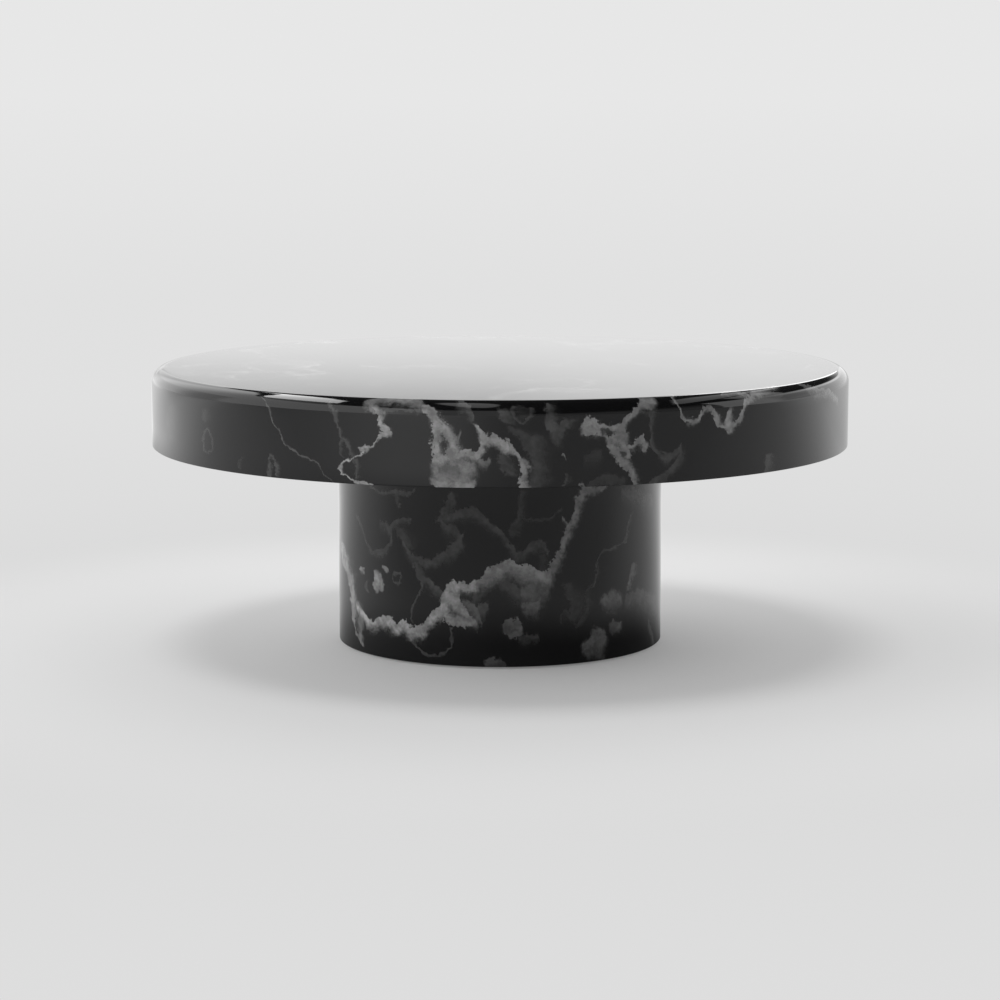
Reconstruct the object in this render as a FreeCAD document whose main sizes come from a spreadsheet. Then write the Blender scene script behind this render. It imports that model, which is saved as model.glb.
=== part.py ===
"""Round cocktail table: a thick round stone top on a stone drum, each a stone shell over a plywood core.

The origin is on the floor under the middle of the table, +Z is up and lengths are in millimetres.
"""

import FreeCAD, Part
import Sketcher
import os

# Every size that can be set by itself, held in the sheet under these names.
SIZES = {
    # The whole table
    "top_diameter": 1016,
    "overall_height": 406,
    "drum_diameter": 476,
    "floor_gap": 2,
    # Stone shell of the top
    "top_depth": 112,
    "slab_thickness": 30,
    "edge_radius": 19,
    "apron_wall": 20,
    "apron_segment_count": 6,
    # Stone shell of the drum
    "drum_wall": 20,
    "drum_stave_count": 6,
    # Chamfer on the free edges of the stone, and the adhesive behind its curved faces
    "arris": 1.5,
    "glue_line": 0.3,
    # Plywood core of the top
    "substrate_thickness": 18,
    "hub_inset": 48,
    "hoop_width": 40,
    "rib_thickness": 18,
    "core_rib_count": 8,
    "housing_depth": 10,
    "joint_clearance": 0.2,
    "panel_thickness": 12,
    "panel_recess": 4,
    # Plywood frame of the drum
    "plate_thickness": 25,
    "former_width": 40,
    "former_thickness": 18,
    "fin_depth": 62,
    "fin_thickness": 18,
    "base_ring_width": 92,
    "base_ring_thickness": 25,
    # Bolts that hold the top to the drum, with their washers and threaded inserts
    "top_bolt_count": 6,
    "bolt_inset": 68,
    "bolt_diameter": 10,
    "bolt_length": 60,
    "bolt_head_diameter": 16,
    "bolt_head_height": 10,
    "hex_key": 8,
    "hex_key_depth": 5,
    "bolt_clearance": 1,
    "washer_diameter": 30,
    "washer_thickness": 2.5,
    "insert_diameter": 16,
    "insert_length": 25,
    # Dowels that centre the top on the drum
    "dowel_count": 2,
    "dowel_inset": 40,
    "dowel_diameter": 12,
    "dowel_length": 40,
    "dowel_seat": 15,
    # Levelling feet
    "leveller_count": 4,
    "leveller_angle": 45,
    "pad_diameter": 40,
    "pad_crown_diameter": 26,
    "pad_height": 7,
    "pad_rim_height": 3,
    "pad_floor": 2.5,
    "socket_diameter": 12,
    "socket_clearance": 0.3,
    "collar_gap": 0.7,
    "collar_width": 17,
    "collar_height": 6,
    "stop_gap": 0.3,
    "flange_diameter": 26,
    "flange_thickness": 2,
    "sleeve_diameter": 14,
    "sleeve_length": 23,
    "stud_diameter": 10,
    "stud_length": 48,
    "thread_clearance": 0.1,
    # Room around what is glued into a drilled hole, and how far a cut runs past the wood it cuts
    "bore_clearance": 0.2,
    "overrun": 5,
}

# Radii that follow from the sizes; a reach is a fastener's distance from the table's axis.
TOP_RADIUS = "(dims.top_diameter / 2)"
APRON_INSIDE = f"({TOP_RADIUS} - dims.apron_wall)"
CORE_RADIUS = f"({APRON_INSIDE} - dims.glue_line)"
HOOP_INSIDE = f"({CORE_RADIUS} - dims.hoop_width)"
DRUM_RADIUS = "(dims.drum_diameter / 2)"
HUB_RADIUS = f"({DRUM_RADIUS} - dims.hub_inset)"
STAVE_INSIDE = f"({DRUM_RADIUS} - dims.drum_wall)"
FRAME_RADIUS = f"({STAVE_INSIDE} - dims.glue_line)"
FORMER_INSIDE = f"({FRAME_RADIUS} - dims.former_width)"
FORMER_MIDDLE = f"({FRAME_RADIUS} - dims.former_width / 2)"
FIN_INSIDE = f"({FRAME_RADIUS} - dims.fin_depth)"
FIN_OUTSIDE = f"sqrt({FRAME_RADIUS}^2 - (dims.fin_thickness / 2)^2)"
RING_INSIDE = f"({FRAME_RADIUS} - dims.base_ring_width)"
BOLT_REACH = f"({FRAME_RADIUS} - dims.bolt_inset)"
DOWEL_REACH = f"({BOLT_REACH} - dims.dowel_inset)"
LEVELLER_REACH = f"({FRAME_RADIUS} - dims.base_ring_width / 2)"

# Diameters of drilled holes.
BOLT_HOLE = "(dims.bolt_diameter + dims.bolt_clearance)"
DOWEL_HOLE = "(dims.dowel_diameter + dims.bore_clearance)"

# Heights of the top, from its surface down.
SLAB_BOTTOM = "(dims.overall_height - dims.slab_thickness)"
SUBSTRATE_BOTTOM = f"({SLAB_BOTTOM} - dims.substrate_thickness)"
APRON_BOTTOM = "(dims.overall_height - dims.top_depth)"
PANEL_BOTTOM = f"({APRON_BOTTOM} + dims.panel_recess)"
PANEL_TOP = f"({PANEL_BOTTOM} + dims.panel_thickness)"
CORE_DEPTH = f"({SUBSTRATE_BOTTOM} - {PANEL_TOP})"

# Heights of the feet and the drum's frame, from the floor up.
COLLAR_BOTTOM = "(dims.pad_height + dims.collar_gap)"
COLLAR_TOP = f"({COLLAR_BOTTOM} + dims.collar_height)"
FLANGE_BOTTOM = f"({COLLAR_TOP} + dims.stop_gap)"
RING_BOTTOM = f"({FLANGE_BOTTOM} + dims.flange_thickness)"
RING_TOP = f"({RING_BOTTOM} + dims.base_ring_thickness)"
PLATE_BOTTOM = f"({PANEL_BOTTOM} - dims.plate_thickness)"
FORMER_HEIGHT = f"(({RING_TOP} + {PLATE_BOTTOM}) / 2)"
FORMER_BOTTOM = f"({FORMER_HEIGHT} - dims.former_thickness / 2)"
FORMER_TOP = f"({FORMER_HEIGHT} + dims.former_thickness / 2)"
WASHER_BOTTOM = f"({PLATE_BOTTOM} - dims.washer_thickness)"
DOWEL_BOTTOM = f"({PANEL_BOTTOM} - dims.dowel_seat)"

# Angles between neighbours, and of the fastener in a bay between two fins.
APRON_STEP = "(360 / dims.apron_segment_count)"
STAVE_STEP = "(360 / dims.drum_stave_count)"
RIB_STEP = "(360 / dims.core_rib_count)"
LEVELLER_STEP = "(360 / dims.leveller_count)"
BAY_ANGLE = f"({STAVE_STEP} / 2)"

doc = FreeCAD.newDocument("cocktail_table")
sheet = doc.addObject("Spreadsheet::Sheet", "dims")
for row, (alias, amount) in enumerate(SIZES.items(), start=1):
    sheet.set(f"A{row}", alias)
    sheet.set(f"B{row}", str(amount))
    sheet.setAlias(f"B{row}", alias)
doc.recompute()


def number(expression):
    return float(sheet.evalExpression(expression))


def copies(alias):
    return range(1, round(number(f"dims.{alias}")) + 1)


def new_body(label, turn="0"):
    """An empty sub-part, turned about the table's axis."""
    body = doc.addObject("PartDesign::Body", label)
    body.Label = label
    body.AllowCompound = True
    body.Placement = FreeCAD.Placement(FreeCAD.Vector(), FreeCAD.Rotation(FreeCAD.Vector(0, 0, 1), 0))
    body.setExpression("Placement.Rotation.Angle", turn)
    return body


def origin_part(body, role):
    return next(part for part in body.Origin.OriginFeatures if part.Role == role)


def flat_sketch(body, height):
    """A level sketch at a height above the floor."""
    sketch = body.newObject("Sketcher::SketchObject", "plan")
    sketch.AttachmentSupport = [(origin_part(body, "XY_Plane"), "")]
    sketch.MapMode = "FlatFace"
    sketch.setExpression("AttachmentOffset.Base.z", height)
    return sketch


def side_sketch(body, outward="0"):
    """An upright sketch whose vertical axis stands a distance out from the table's axis."""
    sketch = body.newObject("Sketcher::SketchObject", "section")
    sketch.AttachmentSupport = [(origin_part(body, "XZ_Plane"), "")]
    sketch.MapMode = "FlatFace"
    sketch.setExpression("AttachmentOffset.Base.x", outward)
    return sketch


# A sketch numbers its level axis -1, which also holds its origin, its upright axis -2, and the start,
# end and centre of an edge 1, 2 and 3.
def pin(sketch, edge, point, across, up):
    """Holds one point of an edge, its start, end or centre, at its two coordinates."""
    point_index = ("start", "end", "centre").index(point) + 1
    for kind, axis_index, place in (("DistanceX", -2, across), ("DistanceY", -1, up)):
        if place == "0":
            sketch.addConstraint(Sketcher.Constraint("PointOnObject", edge, point_index, axis_index))
        else:
            rule = Sketcher.Constraint(kind, -1, 1, edge, point_index, number(place))
            index = sketch.addConstraint(rule)
            sketch.setExpression(f"Constraints[{index}]", place)


def polygon(sketch, corners):
    """A closed outline of straight lines through (across, up) corners."""
    points = [FreeCAD.Vector(number(across), number(up), 0) for across, up in corners]
    following = points[1:] + points[:1]
    edges = [sketch.addGeometry(Part.LineSegment(*pair)) for pair in zip(points, following)]
    for edge, next_edge, corner in zip(edges, edges[1:] + edges[:1], corners):
        sketch.addConstraint(Sketcher.Constraint("Coincident", edge, 2, next_edge, 1))
        pin(sketch, edge, "start", *corner)


def rectangle(sketch, left, right, low, high):
    polygon(sketch, [(left, low), (right, low), (right, high), (left, high)])


def hexagon(sketch, width):
    """A hexagon about the sketch's origin, sized across its flats."""
    corner, shoulder, flat = f"{width} / sqrt(3)", f"{width} / sqrt(12)", f"{width} / 2"
    polygon(sketch, [
        (corner, "0"), (shoulder, flat), (f"-{shoulder}", flat),
        (f"-{corner}", "0"), (f"-{shoulder}", f"-{flat}"), (shoulder, f"-{flat}"),
    ])


def circle(sketch, diameter, across="0"):
    centre = FreeCAD.Vector(number(across), 0, 0)
    edge = sketch.addGeometry(Part.Circle(centre, FreeCAD.Vector(0, 0, 1), number(diameter) / 2))
    pin(sketch, edge, "centre", across, "0")
    index = sketch.addConstraint(Sketcher.Constraint("Diameter", edge, number(diameter)))
    sketch.setExpression(f"Constraints[{index}]", diameter)


def pad(body, sketch, length, symmetric=False):
    feature = body.newObject("PartDesign::Pad", "pad")
    feature.Profile = sketch
    feature.SideType = "Symmetric" if symmetric else "One side"
    feature.setExpression("Length", length)
    doc.recompute()
    return feature


def pocket(body, sketch, depth):
    """Cuts straight down from a level sketch."""
    before = body.Shape.Volume
    feature = body.newObject("PartDesign::Pocket", "pocket")
    feature.Profile = sketch
    feature.setExpression("Length", depth)
    doc.recompute()
    if body.Shape.Volume >= before:
        raise RuntimeError(f"a cut in {body.Label} removed nothing")
    return feature


def revolve(body, sketch, angle="360"):
    """Turns a section about its own vertical axis, from +X towards +Y."""
    feature = body.newObject("PartDesign::Revolution", "revolution")
    feature.Profile = sketch
    feature.ReferenceAxis = (sketch, ["V_Axis"])
    feature.setExpression("Angle", angle)
    doc.recompute()
    return feature


def repeat(body, features, count):
    """Repeats features evenly about the table's axis."""
    pattern = body.newObject("PartDesign::PolarPattern", "pattern")
    pattern.Originals = features
    pattern.Axis = (origin_part(body, "Z_Axis"), [""])
    pattern.Angle = 360
    pattern.setExpression("Occurrences", count)
    body.Tip = pattern
    doc.recompute()


def disc(body, radius, bottom, thickness, hole_radius=None):
    """A level disc, or a ring where it has a hole."""
    plan = flat_sketch(body, bottom)
    circle(plan, f"2 * {radius}")
    if hole_radius:
        circle(plan, f"2 * {hole_radius}")
    return pad(body, plan, thickness)


def drill(body, diameter, reach, top, depth, count, turn="0"):
    """Round holes about the table's axis, each going down from a top face."""
    plan = flat_sketch(body, top)
    plan.setExpression("AttachmentOffset.Rotation.Angle", turn)
    circle(plan, diameter, reach)
    repeat(body, [pocket(body, plan, depth)], count)


def slot(body, inside, outside, board_thickness, top, depth, count):
    """Radial slots, a joint clearance wider than the boards that they take."""
    half_width = f"({board_thickness} + dims.joint_clearance) / 2"
    plan = flat_sketch(body, top)
    rectangle(plan, inside, outside, f"-{half_width}", half_width)
    repeat(body, [pocket(body, plan, depth)], count)


def tube(body, reach, outside, inside, bottom, top):
    """An upright tube between two diameters, standing at a reach."""
    section = side_sketch(body, reach)
    rectangle(section, f"{inside} / 2", f"{outside} / 2", bottom, top)
    return revolve(body, section)


def curved_stone(label, index, step, outside, inside, bottom, top):
    """One stone of a round wall, its lower edges chamfered; the next stone starts where it ends."""
    body = new_body(label, f"{index - 1} * {step}")
    section = side_sketch(body)
    polygon(section, [
        (f"{inside} + dims.arris", bottom), (f"{outside} - dims.arris", bottom),
        (outside, f"{bottom} + dims.arris"), (outside, top),
        (inside, top), (inside, f"{bottom} + dims.arris"),
    ])
    revolve(body, section, step)


def make_top_shell():
    """The slab with its rounded edge, and the stones that carry the edge down."""
    slab = new_body("top_slab")
    blank = disc(slab, TOP_RADIUS, SLAB_BOTTOM, "dims.slab_thickness")
    edges = blank.Shape.Edges
    rim = max(range(len(edges)), key=lambda place: edges[place].BoundBox.ZMin)
    rounding = slab.newObject("PartDesign::Fillet", "rounded_edge")
    rounding.Base = (blank, [f"Edge{rim + 1}"])
    rounding.setExpression("Radius", "dims.edge_radius")

    for index in copies("apron_segment_count"):
        curved_stone(f"apron_segment_{index}", index, APRON_STEP,
                     TOP_RADIUS, APRON_INSIDE, APRON_BOTTOM, SLAB_BOTTOM)


def make_top_core():
    """The torsion box in the top: a skin above and below, with a hub, a hoop and ribs between."""
    disc(new_body("top_substrate"), CORE_RADIUS, SUBSTRATE_BOTTOM, "dims.substrate_thickness")
    hub_slot = f"{HUB_RADIUS} - dims.housing_depth"
    hoop_slot = f"{HOOP_INSIDE} + dims.housing_depth"

    hub = new_body("core_hub")
    disc(hub, HUB_RADIUS, PANEL_TOP, CORE_DEPTH)
    slot(hub, hub_slot, f"{HUB_RADIUS} + dims.overrun", "dims.rib_thickness",
         SUBSTRATE_BOTTOM, CORE_DEPTH, "dims.core_rib_count")
    drill(hub, "dims.insert_diameter + dims.bore_clearance", BOLT_REACH,
          SUBSTRATE_BOTTOM, CORE_DEPTH, "dims.top_bolt_count", BAY_ANGLE)
    drill(hub, DOWEL_HOLE, DOWEL_REACH, SUBSTRATE_BOTTOM, CORE_DEPTH, "dims.dowel_count")

    hoop = new_body("core_hoop")
    disc(hoop, CORE_RADIUS, PANEL_TOP, CORE_DEPTH, HOOP_INSIDE)
    slot(hoop, f"{HOOP_INSIDE} - dims.overrun", hoop_slot, "dims.rib_thickness",
         SUBSTRATE_BOTTOM, CORE_DEPTH, "dims.core_rib_count")

    for index in copies("core_rib_count"):
        rib = new_body(f"core_rib_{index}", f"{index - 1} * {RIB_STEP}")
        plan = flat_sketch(rib, PANEL_TOP)
        rectangle(plan, f"{hub_slot} + dims.joint_clearance", f"{hoop_slot} - dims.joint_clearance",
                  "-dims.rib_thickness / 2", "dims.rib_thickness / 2")
        pad(rib, plan, CORE_DEPTH)

    panel = new_body("underside_panel")
    disc(panel, CORE_RADIUS, PANEL_BOTTOM, "dims.panel_thickness")
    drill(panel, BOLT_HOLE, BOLT_REACH, PANEL_TOP, "dims.panel_thickness",
          "dims.top_bolt_count", BAY_ANGLE)
    drill(panel, DOWEL_HOLE, DOWEL_REACH, PANEL_TOP, "dims.panel_thickness", "dims.dowel_count")


def make_drum_shell():
    for index in copies("drum_stave_count"):
        curved_stone(f"drum_stave_{index}", index, STAVE_STEP,
                     DRUM_RADIUS, STAVE_INSIDE, "dims.floor_gap", PANEL_BOTTOM)


def make_drum_frame():
    """The frame behind the staves: a fin at each joint, halved over a ring, between plate and base."""
    plate = new_body("drum_plate")
    disc(plate, FRAME_RADIUS, PLATE_BOTTOM, "dims.plate_thickness")
    drill(plate, BOLT_HOLE, BOLT_REACH, PANEL_BOTTOM, "dims.plate_thickness",
          "dims.top_bolt_count", BAY_ANGLE)
    drill(plate, DOWEL_HOLE, DOWEL_REACH, PANEL_BOTTOM, "dims.dowel_seat", "dims.dowel_count")

    former = new_body("drum_former")
    disc(former, FRAME_RADIUS, FORMER_BOTTOM, "dims.former_thickness", FORMER_INSIDE)
    slot(former, f"{FORMER_INSIDE} - dims.overrun", FORMER_MIDDLE, "dims.fin_thickness",
         FORMER_TOP, "dims.former_thickness", "dims.drum_stave_count")

    slot_low = f"{FORMER_BOTTOM} - dims.joint_clearance / 2"
    slot_high = f"{FORMER_TOP} + dims.joint_clearance / 2"
    slot_inside = f"{FORMER_MIDDLE} - dims.joint_clearance"
    for index in copies("drum_stave_count"):
        fin = new_body(f"drum_fin_{index}", f"{index - 1} * {STAVE_STEP}")
        section = side_sketch(fin)
        polygon(section, [
            (FIN_INSIDE, RING_TOP), (FIN_OUTSIDE, RING_TOP), (FIN_OUTSIDE, slot_low),
            (slot_inside, slot_low), (slot_inside, slot_high), (FIN_OUTSIDE, slot_high),
            (FIN_OUTSIDE, PLATE_BOTTOM), (FIN_INSIDE, PLATE_BOTTOM),
        ])
        pad(fin, section, "dims.fin_thickness", symmetric=True)

    ring = new_body("base_ring")
    disc(ring, FRAME_RADIUS, RING_BOTTOM, "dims.base_ring_thickness", RING_INSIDE)
    drill(ring, "dims.sleeve_diameter + dims.bore_clearance", LEVELLER_REACH, RING_TOP,
          "dims.base_ring_thickness", "dims.leveller_count", "dims.leveller_angle")


def make_top_fixings():
    bolts = new_body("top_bolts", BAY_ANGLE)
    head_bottom = f"({WASHER_BOTTOM} - dims.bolt_head_height)"
    shank_top = f"({WASHER_BOTTOM} + dims.bolt_length)"
    head, shank = "dims.bolt_head_diameter / 2", "dims.bolt_diameter / 2"
    section = side_sketch(bolts, BOLT_REACH)
    polygon(section, [
        ("0", head_bottom), (head, head_bottom), (head, WASHER_BOTTOM),
        (shank, WASHER_BOTTOM), (shank, shank_top), ("0", shank_top),
    ])
    bolt = revolve(bolts, section)
    plan = flat_sketch(bolts, f"{head_bottom} + dims.hex_key_depth")
    plan.setExpression("AttachmentOffset.Base.x", BOLT_REACH)
    hexagon(plan, "dims.hex_key")
    key_hole = pocket(bolts, plan, "dims.hex_key_depth")
    repeat(bolts, [bolt, key_hole], "dims.top_bolt_count")

    washers = new_body("bolt_washers", BAY_ANGLE)
    washer = tube(washers, BOLT_REACH, "dims.washer_diameter", BOLT_HOLE, WASHER_BOTTOM, PLATE_BOTTOM)
    repeat(washers, [washer], "dims.top_bolt_count")

    inserts = new_body("hub_inserts", BAY_ANGLE)
    insert = tube(inserts, BOLT_REACH, "dims.insert_diameter",
                  "(dims.bolt_diameter + dims.thread_clearance)",
                  PANEL_TOP, f"{PANEL_TOP} + dims.insert_length")
    repeat(inserts, [insert], "dims.top_bolt_count")

    dowels = new_body("locating_dowels")
    section = side_sketch(dowels, DOWEL_REACH)
    rectangle(section, "0", "dims.dowel_diameter / 2", DOWEL_BOTTOM, f"{DOWEL_BOTTOM} + dims.dowel_length")
    repeat(dowels, [revolve(dowels, section)], "dims.dowel_count")


def make_levellers():
    """Feet that screw in flanged sleeves; each stud's collar stops at its flange, its end sits in a pad."""
    bore = "(dims.stud_diameter + dims.thread_clearance) / 2"
    sleeve, flange = "dims.sleeve_diameter / 2", "dims.flange_diameter / 2"
    sleeve_top = f"{RING_BOTTOM} + dims.sleeve_length"
    inserts = new_body("leveller_inserts", "dims.leveller_angle")
    section = side_sketch(inserts, LEVELLER_REACH)
    polygon(section, [
        (bore, FLANGE_BOTTOM), (flange, FLANGE_BOTTOM), (flange, RING_BOTTOM),
        (sleeve, RING_BOTTOM), (sleeve, sleeve_top), (bore, sleeve_top),
    ])
    repeat(inserts, [revolve(inserts, section)], "dims.leveller_count")

    foot, rod = "dims.socket_diameter / 2", "dims.stud_diameter / 2"
    rod_top = f"{COLLAR_TOP} + dims.stud_length"
    rim, crown = "dims.pad_diameter / 2", "dims.pad_crown_diameter / 2"
    socket = "(dims.socket_diameter + dims.socket_clearance) / 2"
    for index in copies("leveller_count"):
        turn = f"dims.leveller_angle + {index - 1} * {LEVELLER_STEP}"

        stud = new_body(f"leveller_stud_{index}", turn)
        section = side_sketch(stud, LEVELLER_REACH)
        polygon(section, [
            ("0", "dims.pad_floor"), (foot, "dims.pad_floor"), (foot, COLLAR_TOP),
            (rod, COLLAR_TOP), (rod, rod_top), ("0", rod_top),
        ])
        revolve(stud, section)
        plan = flat_sketch(stud, COLLAR_BOTTOM)
        plan.setExpression("AttachmentOffset.Base.x", LEVELLER_REACH)
        hexagon(plan, "dims.collar_width")
        pad(stud, plan, "dims.collar_height")

        foot_pad = new_body(f"leveller_pad_{index}", turn)
        section = side_sketch(foot_pad, LEVELLER_REACH)
        polygon(section, [
            ("0", "0"), (rim, "0"), (rim, "dims.pad_rim_height"), (crown, "dims.pad_height"),
            (socket, "dims.pad_height"), (socket, "dims.pad_floor"), ("0", "dims.pad_floor"),
        ])
        revolve(foot_pad, section)


def write_parts():
    doc.recompute()
    for item in doc.Objects:
        if {"Invalid", "Error"} & set(item.State):
            raise RuntimeError(f"{item.Label} did not build")
    bodies = doc.findObjects("PartDesign::Body")
    for body in bodies:
        if body.Shape.isNull() or not body.Shape.isValid():
            raise RuntimeError(f"{body.Label} has no valid shape")
    os.makedirs("parts", exist_ok=True)
    for body in bodies:
        body.Shape.exportStep(f"parts/{body.Label}.step")


make_top_shell()
make_top_core()
make_drum_shell()
make_drum_frame()
make_top_fixings()
make_levellers()
write_parts()
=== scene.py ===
import math

import bpy
from mathutils import Matrix, Vector


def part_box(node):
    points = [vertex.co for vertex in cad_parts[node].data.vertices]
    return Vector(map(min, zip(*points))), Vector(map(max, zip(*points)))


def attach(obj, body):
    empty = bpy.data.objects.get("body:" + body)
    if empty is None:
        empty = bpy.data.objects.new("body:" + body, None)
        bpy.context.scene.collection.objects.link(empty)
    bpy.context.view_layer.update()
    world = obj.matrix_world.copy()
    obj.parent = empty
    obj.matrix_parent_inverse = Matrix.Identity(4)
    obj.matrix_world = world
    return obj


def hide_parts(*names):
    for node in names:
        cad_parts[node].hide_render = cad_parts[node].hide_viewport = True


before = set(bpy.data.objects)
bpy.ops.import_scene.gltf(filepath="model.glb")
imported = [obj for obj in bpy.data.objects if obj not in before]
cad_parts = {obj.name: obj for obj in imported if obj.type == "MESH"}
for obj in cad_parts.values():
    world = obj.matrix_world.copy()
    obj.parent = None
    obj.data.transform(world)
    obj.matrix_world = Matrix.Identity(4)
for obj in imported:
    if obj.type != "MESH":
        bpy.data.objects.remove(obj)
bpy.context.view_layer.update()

# Round cocktail table in polished black marble, in metres, with the floor at zero and the front at -Y.

slab_low, slab_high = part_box("top_slab")
apron_low, apron_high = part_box("apron_segment_5")
stave_low, stave_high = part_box("drum_stave_5")
TOP_RADIUS = slab_high.x
DRUM_RADIUS = -stave_low.y
WALL = 0.020
EDGE_RADIUS = 0.019
ARRIS = 0.0015
STONES = 6
STONE_ANGLE = math.tau / STONES
SHOULDER = slab_high.z - EDGE_RADIUS
NO_SHOULDER = 1.0
MM_PER_METRE = 1000.0
TINY = 0.001

# How finely the stones are modelled, and up to which angle their faces are shaded as one.

SLAB_SIDES = 288
EDGE_STEPS = 20
FACE_INSET = 0.002
FACING_UP = 0.9999
LARGE_FACE = 0.1
STONE_STEPS = 120
ARRIS_STEPS = 3
SAME_HEIGHT = 1e-5
SAME_POINT = 1e-6
SLAB_SMOOTH_TO = math.radians(35)
STONE_SMOOTH_TO = math.radians(10)

# How veins are laid on the stone. The wandering ones come in between two turns away from the front, and
# between two ways up the unrolled stone, over its edge and onto its face.

SIDES_FROM = 1.35
SIDES_TO = 1.62
TOP_FROM = 0.412
TOP_TO = 0.450
SIGHT_STEPS = 60
THINNEST_VEIN = 0.0006
MOST_FORESHORTENED = 0.3
STEEPEST = 2.3
END_WIDTH = 0.7
LARGEST_CRUMB = 0.003
SMOKE_FROM = 1.1
SMOKE_TO = 2.7
FURTHEST_SMOKE = 3

# Finishes of the stone, the wood and the metal, with the thickness of a ply in mm.

STONE_IOR = 1.5
PLY = 1.5
PLY_EDGE = (0.27, 0.15, 0.07, 1.0)
BEECH_FLECK = (0.30, 0.15, 0.07, 1.0)
THREAD_PITCH = 0.0015
NO_THREAD = 0.0

# The studio: its floor, its lights by where they come from, how bright each thing is that the polish
# mirrors, and how far the edges of the mirrored ceiling are shrunk to fit a ramp.

FLOOR_RADIUS = 400.0
FLOOR_SIDES = 96
FLOOR_DROP = 0.0006
FLOOR_COLOUR = (0.80, 0.80, 0.80, 1.0)
WHITE = (1.0, 1.0, 1.0, 1.0)
BACKGROUND = 0.80
LEFT_LIGHT = 5.1
BACK_LIGHT = 4.5
RIGHT_LIGHT = 1.14
LIGHT_FOCUS = 4.0
SUN_FROM = Vector((-0.1, 0.0, 1.0))
SUN_SPREAD = math.radians(22)
SUN_STRENGTH = 0.72
CEILING = 0.03
WHITE_LIGHT = 6.0
LEFT_HAZE = 0.5
GREY_SCREEN = 0.95
RIGHT_SHELF = 1.1
RIM_LIGHT = 2.6
FRONT_SCREEN = 0.62
OVERHEAD = 1.2
BACK_SHRINK = 0.25
OUT_STRETCH = 2.0

# The camera stands where the photograph was taken from, and the photograph is a square picture.

CAMERA_PLACE = Vector((0.0, -4.0922, 0.7996))
CAMERA_TILT = math.radians(8.271)
LENS = 100.8
SENSOR = 36.0
SEES_TO = 1000.0
PICTURE_SIZE = 1000
PICTURE_MIDDLE = PICTURE_SIZE / 2
PIXELS_PER_SLOPE = PICTURE_SIZE * LENS / SENSOR

# Veins read off the photograph: how pale each is, how soft its edges are and how far its smoky side
# spreads in mm, and points of its course with half its width there, in pixels. The smoky side is the lower
# or right one, and the other where the spread is below zero. A paleness below zero is a dark gap.

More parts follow.
